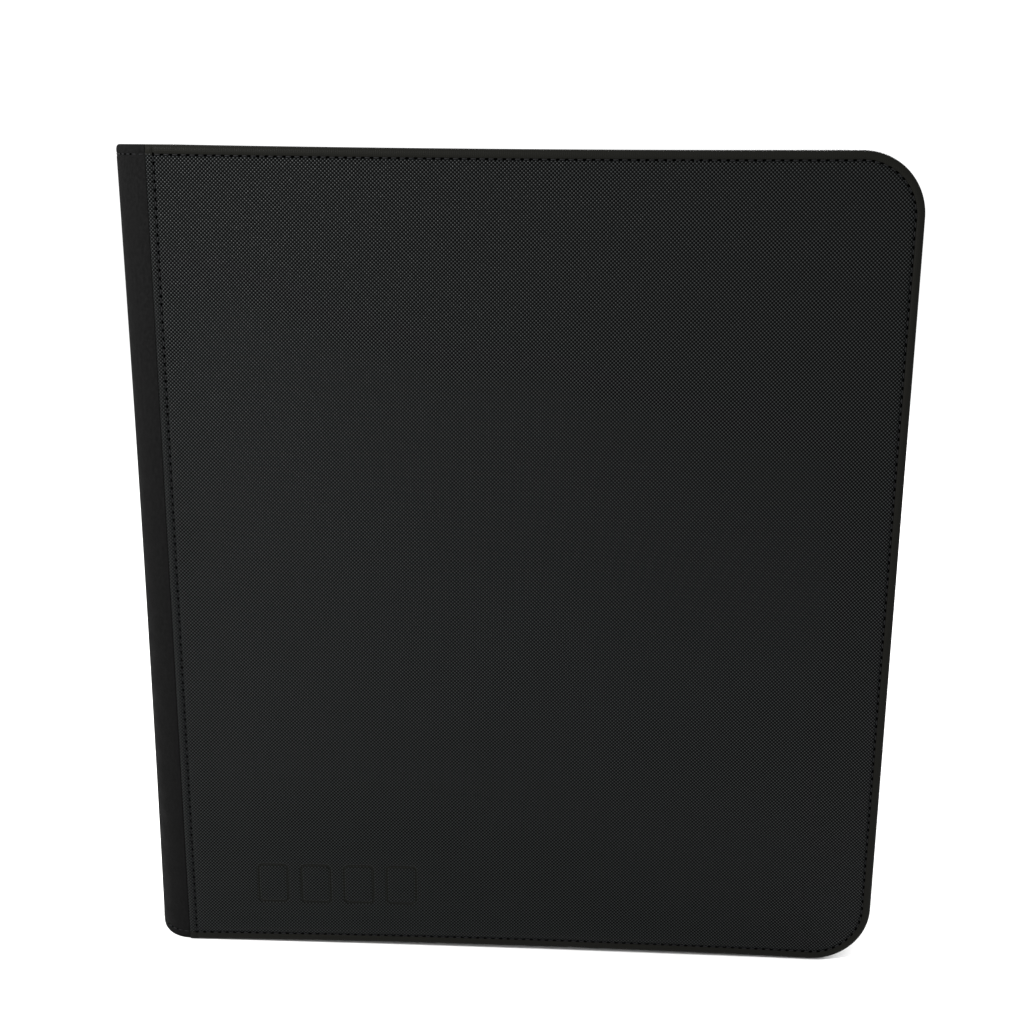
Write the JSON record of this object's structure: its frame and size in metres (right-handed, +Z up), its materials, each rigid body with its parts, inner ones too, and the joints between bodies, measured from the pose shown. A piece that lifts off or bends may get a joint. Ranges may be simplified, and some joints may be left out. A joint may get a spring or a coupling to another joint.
{
  "type": "trading card binder",
  "caption": "Zip-up trading card binder with stiff woven covers, a rounded spine and fixed leaves of side-loading card pockets.",
  "frame": {"origin": "centre of the footprint, on the surface that the binder stands on", "axes": "+Z up, -Y out of the front cover, the spine at -X and the zip round +X"},
  "size_m": [0.326, 0.044, 0.355],
  "materials": {
    "cover_fabric": "woven nylon, coated, matt black",
    "spine_fabric": "smooth coated cloth, matt black",
    "board": "grey stiff board",
    "stiffener": "black sheet plastic",
    "lining": "fine black woven lining",
    "zip_tape": "black herringbone zip tape",
    "zip_coil": "black nylon coil",
    "zip_metal": "black plated zinc",
    "page_web": "embossed black polypropylene sheet",
    "page_film": "clear polypropylene film",
    "binding": "black moulded foam plastic"
  },
  "bodies": {
    "back_cover": {"back_skin": "cover_fabric", "back_board": "board", "back_lining": "lining", "back_zip_tape": "zip_tape", "back_zip_coil": "zip_coil", "back_zip_stops": "zip_metal"},
    "spine": {"spine_skin": "spine_fabric", "spine_stiffener": "stiffener", "spine_lining": "lining", "page_binding": "binding", "zip_end_tabs": "zip_tape"},
    "front_cover": {"front_skin": "cover_fabric", "front_board": "board", "front_lining": "lining", "front_zip_tape": "zip_tape", "front_zip_coil": "zip_coil", "front_zip_stops": "zip_metal"},
    "slider": {"zip_slider": "zip_metal"},
    "pull_tab": {"zip_pull_tab": "zip_metal"},
    "page_01": {"page_01_web": "page_web", "page_01_pockets": "page_film"},
    "page_02": {"page_02_web": "page_web", "page_02_pockets": "page_film"},
    "page_03": {"page_03_web": "page_web", "page_03_pockets": "page_film"},
    "page_04": {"page_04_web": "page_web", "page_04_pockets": "page_film"},
    "page_05": {"page_05_web": "page_web", "page_05_pockets": "page_film"},
    "page_06": {"page_06_web": "page_web", "page_06_pockets": "page_film"},
    "page_07": {"page_07_web": "page_web", "page_07_pockets": "page_film"},
    "page_08": {"page_08_web": "page_web", "page_08_pockets": "page_film"},
    "page_09": {"page_09_web": "page_web", "page_09_pockets": "page_film"},
    "page_10": {"page_10_web": "page_web", "page_10_pockets": "page_film"},
    "page_11": {"page_11_web": "page_web", "page_11_pockets": "page_film"},
    "page_12": {"page_12_web": "page_web", "page_12_pockets": "page_film"},
    "page_13": {"page_13_web": "page_web", "page_13_pockets": "page_film"},
    "page_14": {"page_14_web": "page_web", "page_14_pockets": "page_film"},
    "page_15": {"page_15_web": "page_web", "page_15_pockets": "page_film"},
    "page_16": {"page_16_web": "page_web", "page_16_pockets": "page_film"},
    "page_17": {"page_17_web": "page_web", "page_17_pockets": "page_film"},
    "page_18": {"page_18_web": "page_web", "page_18_pockets": "page_film"},
    "page_19": {"page_19_web": "page_web", "page_19_pockets": "page_film"},
    "page_20": {"page_20_web": "page_web", "page_20_pockets": "page_film"}
  },
  "joints": [
    {"name": "spine_fold", "type": "hinge", "parent": "back_cover", "child": "spine", "pos_m": [-0.146, 0.022, 0.1775], "axis": [0, 0, -1], "range_deg": [0, 90]},
    {"name": "front_fold", "type": "hinge", "parent": "spine", "child": "front_cover", "pos_m": [-0.146, -0.022, 0.1775], "axis": [0, 0, -1], "range_deg": [0, 90]},
    {"name": "zip_travel", "type": "slide", "parent": "back_cover", "child": "slider", "axis": [1, 0, 0], "range_m": [0, 0.255]},
    {"name": "pull_swing", "type": "hinge", "parent": "slider", "child": "pull_tab", "pos_m": [-0.129, 0, 0.35155], "axis": [0, 1, 0], "range_deg": [0, 170]},
    {"name": "page_01_turn", "type": "hinge", "parent": "spine", "child": "page_01", "pos_m": [-0.14162, -0.01663, 0.1775], "axis": [0, 0, -1], "range_deg": [0, 90]},
    {"name": "page_02_turn", "type": "hinge", "parent": "spine", "child": "page_02", "pos_m": [-0.14109, -0.01487, 0.1775], "axis": [0, 0, -1], "range_deg": [0, 90]},
    {"name": "page_03_turn", "type": "hinge", "parent": "spine", "child": "page_03", "pos_m": [-0.14062, -0.01312, 0.1775], "axis": [0, 0, -1], "range_deg": [0, 90]},
    {"name": "page_04_turn", "type": "hinge", "parent": "spine", "child": "page_04", "pos_m": [-0.14021, -0.01137, 0.1775], "axis": [0, 0, -1], "range_deg": [0, 90]},
    {"name": "page_05_turn", "type": "hinge", "parent": "spine", "child": "page_05", "pos_m": [-0.13986, -0.00962, 0.1775], "axis": [0, 0, -1], "range_deg": [0, 90]},
    {"name": "page_06_turn", "type": "hinge", "parent": "spine", "child": "page_06", "pos_m": [-0.13958, -0.00788, 0.1775], "axis": [0, 0, -1], "range_deg": [0, 90]},
    {"name": "page_07_turn", "type": "hinge", "parent": "spine", "child": "page_07", "pos_m": [-0.13935, -0.00613, 0.1775], "axis": [0, 0, -1], "range_deg": [0, 90]},
    {"name": "page_08_turn", "type": "hinge", "parent": "spine", "child": "page_08", "pos_m": [-0.13918, -0.00438, 0.1775], "axis": [0, 0, -1], "range_deg": [0, 90]},
    {"name": "page_09_turn", "type": "hinge", "parent": "spine", "child": "page_09", "pos_m": [-0.13906, -0.00263, 0.1775], "axis": [0, 0, -1], "range_deg": [0, 90]},
    {"name": "page_10_turn", "type": "hinge", "parent": "spine", "child": "page_10", "pos_m": [-0.13901, -0.00088, 0.1775], "axis": [0, 0, -1], "range_deg": [0, 90]},
    {"name": "page_11_turn", "type": "hinge", "parent": "spine", "child": "page_11", "pos_m": [-0.13901, 0.00088, 0.1775], "axis": [0, 0, 1], "range_deg": [0, 90]},
    {"name": "page_12_turn", "type": "hinge", "parent": "spine", "child": "page_12", "pos_m": [-0.13906, 0.00263, 0.1775], "axis": [0, 0, 1], "range_deg": [0, 90]},
    {"name": "page_13_turn", "type": "hinge", "parent": "spine", "child": "page_13", "pos_m": [-0.13918, 0.00438, 0.1775], "axis": [0, 0, 1], "range_deg": [0, 90]},
    {"name": "page_14_turn", "type": "hinge", "parent": "spine", "child": "page_14", "pos_m": [-0.13935, 0.00613, 0.1775], "axis": [0, 0, 1], "range_deg": [0, 90]},
    {"name": "page_15_turn", "type": "hinge", "parent": "spine", "child": "page_15", "pos_m": [-0.13958, 0.00788, 0.1775], "axis": [0, 0, 1], "range_deg": [0, 90]},
    {"name": "page_16_turn", "type": "hinge", "parent": "spine", "child": "page_16", "pos_m": [-0.13986, 0.00962, 0.1775], "axis": [0, 0, 1], "range_deg": [0, 90]},
    {"name": "page_17_turn", "type": "hinge", "parent": "spine", "child": "page_17", "pos_m": [-0.14021, 0.01137, 0.1775], "axis": [0, 0, 1], "range_deg": [0, 90]},
    {"name": "page_18_turn", "type": "hinge", "parent": "spine", "child": "page_18", "pos_m": [-0.14062, 0.01312, 0.1775], "axis": [0, 0, 1], "range_deg": [0, 90]},
    {"name": "page_19_turn", "type": "hinge", "parent": "spine", "child": "page_19", "pos_m": [-0.14109, 0.01487, 0.1775], "axis": [0, 0, 1], "range_deg": [0, 90]},
    {"name": "page_20_turn", "type": "hinge", "parent": "spine", "child": "page_20", "pos_m": [-0.14162, 0.01663, 0.1775], "axis": [0, 0, 1], "range_deg": [0, 90]}
  ],
  "couplings": [
    {"joint": "page_01_turn", "follows": "front_fold", "ratio": 0.95},
    {"joint": "page_02_turn", "follows": "front_fold", "ratio": 0.85},
    {"joint": "page_03_turn", "follows": "front_fold", "ratio": 0.75},
    {"joint": "page_04_turn", "follows": "front_fold", "ratio": 0.65},
    {"joint": "page_05_turn", "follows": "front_fold", "ratio": 0.55},
    {"joint": "page_06_turn", "follows": "front_fold", "ratio": 0.45},
    {"joint": "page_07_turn", "follows": "front_fold", "ratio": 0.35},
    {"joint": "page_08_turn", "follows": "front_fold", "ratio": 0.25},
    {"joint": "page_09_turn", "follows": "front_fold", "ratio": 0.15},
    {"joint": "page_10_turn", "follows": "front_fold", "ratio": 0.05},
    {"joint": "page_11_turn", "follows": "spine_fold", "ratio": 0.05},
    {"joint": "page_12_turn", "follows": "spine_fold", "ratio": 0.15},
    {"joint": "page_13_turn", "follows": "spine_fold", "ratio": 0.25},
    {"joint": "page_14_turn", "follows": "spine_fold", "ratio": 0.35},
    {"joint": "page_15_turn", "follows": "spine_fold", "ratio": 0.45},
    {"joint": "page_16_turn", "follows": "spine_fold", "ratio": 0.55},
    {"joint": "page_17_turn", "follows": "spine_fold", "ratio": 0.65},
    {"joint": "page_18_turn", "follows": "spine_fold", "ratio": 0.75},
    {"joint": "page_19_turn", "follows": "spine_fold", "ratio": 0.85},
    {"joint": "page_20_turn", "follows": "spine_fold", "ratio": 0.95}
  ]
}
